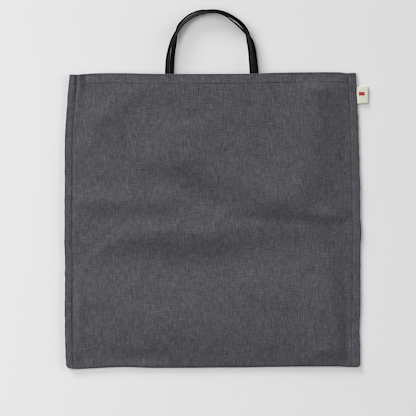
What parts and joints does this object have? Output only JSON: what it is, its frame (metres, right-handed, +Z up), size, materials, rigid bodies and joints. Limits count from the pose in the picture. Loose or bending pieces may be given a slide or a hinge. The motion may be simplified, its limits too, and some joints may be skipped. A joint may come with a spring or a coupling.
{
  "type": "tote bag",
  "caption": "Flat square tote bag of hand-woven cloth lying on its back, with two slim glossy black leather strap handles sewn into the mouth hem and a folded tape label in one side seam.",
  "frame": {"origin": "middle of the whole bag's footprint, on the surface that it lies on", "axes": "+Z up off the surface it lies on, +Y from the bottom fold to the mouth and handles, +X to the side with the label"},
  "size_m": [0.3908, 0.4618, 0.0135],
  "materials": {
    "cloth": "matt hand-woven slub cloth, dark warm grey",
    "leather": "glossy black leather strap",
    "tape": "fine woven cream tape"
  },
  "bodies": {
    "root": {"cloth_body": "cloth", "mouth_hem_front": "cloth", "mouth_hem_back": "cloth", "front_handle": "leather", "back_handle": "leather", "side_label": "tape"}
  },
  "joints": []
}
